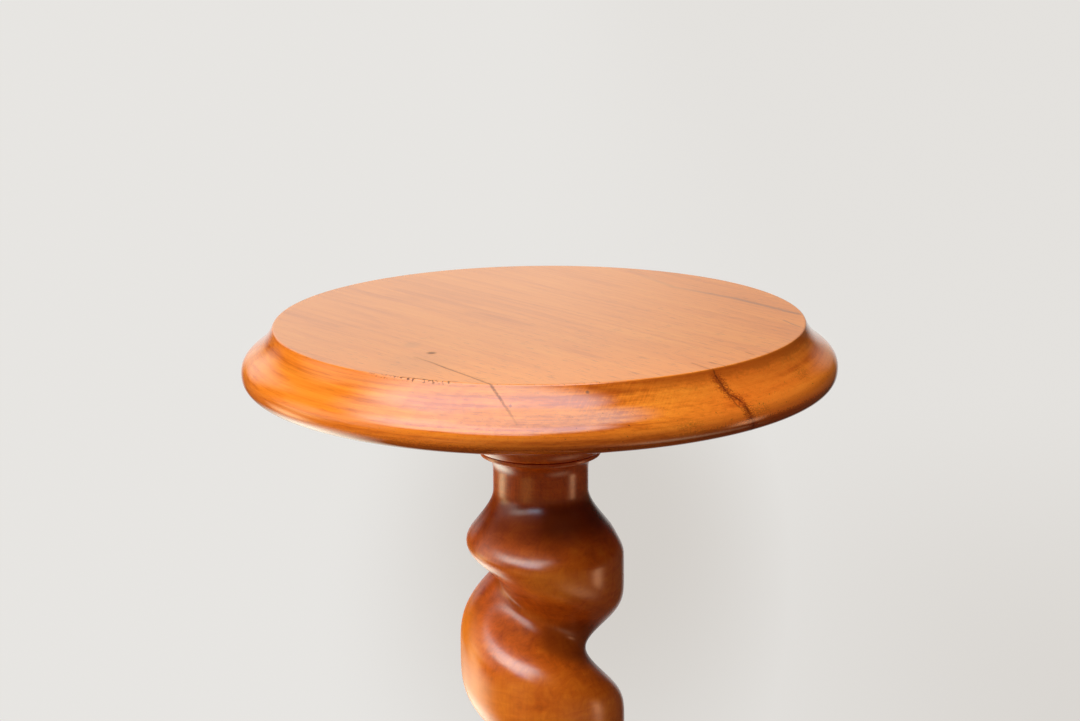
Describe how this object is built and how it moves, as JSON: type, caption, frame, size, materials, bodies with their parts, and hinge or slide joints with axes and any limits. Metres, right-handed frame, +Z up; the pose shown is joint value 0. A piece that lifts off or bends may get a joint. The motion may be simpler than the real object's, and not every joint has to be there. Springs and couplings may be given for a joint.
{
  "type": "plant stand",
  "caption": "Turned wooden pedestal stand: a round top with a hollow-and-round moulded edge on a barley-twist column, over a round moulded base on bun feet.",
  "frame": {"origin": "on the floor, under the middle of the column", "axes": "+Z up along the column; +X to the right and +Y away in the picture's view; two feet stand at the front and one at the back"},
  "size_m": [0.31, 0.31, 0.915],
  "materials": {
    "polished_top": "honey-coloured timber, shellac polish, high gloss",
    "polished_column": "red-brown timber, shellac polish, high gloss",
    "polished_base": "red-brown timber, shellac polish, gloss",
    "polished_foot": "red-brown timber, shellac polish, gloss",
    "oiled_cleat": "plain timber, thin stain, satin",
    "wedge_wood": "bare hardwood, matt",
    "screw_steel": "dull steel"
  },
  "bodies": {
    "root": {"top_board": "polished_top", "top_cleat": "oiled_cleat", "cleat_screw_1": "screw_steel", "cleat_screw_2": "screw_steel", "cleat_screw_3": "screw_steel", "cleat_screw_4": "screw_steel", "column": "polished_column", "upper_tenon_wedge": "wedge_wood", "lower_tenon_wedge": "wedge_wood", "base_board": "polished_base", "bun_foot_1": "polished_foot", "bun_foot_2": "polished_foot", "bun_foot_3": "polished_foot"}
  },
  "joints": []
}
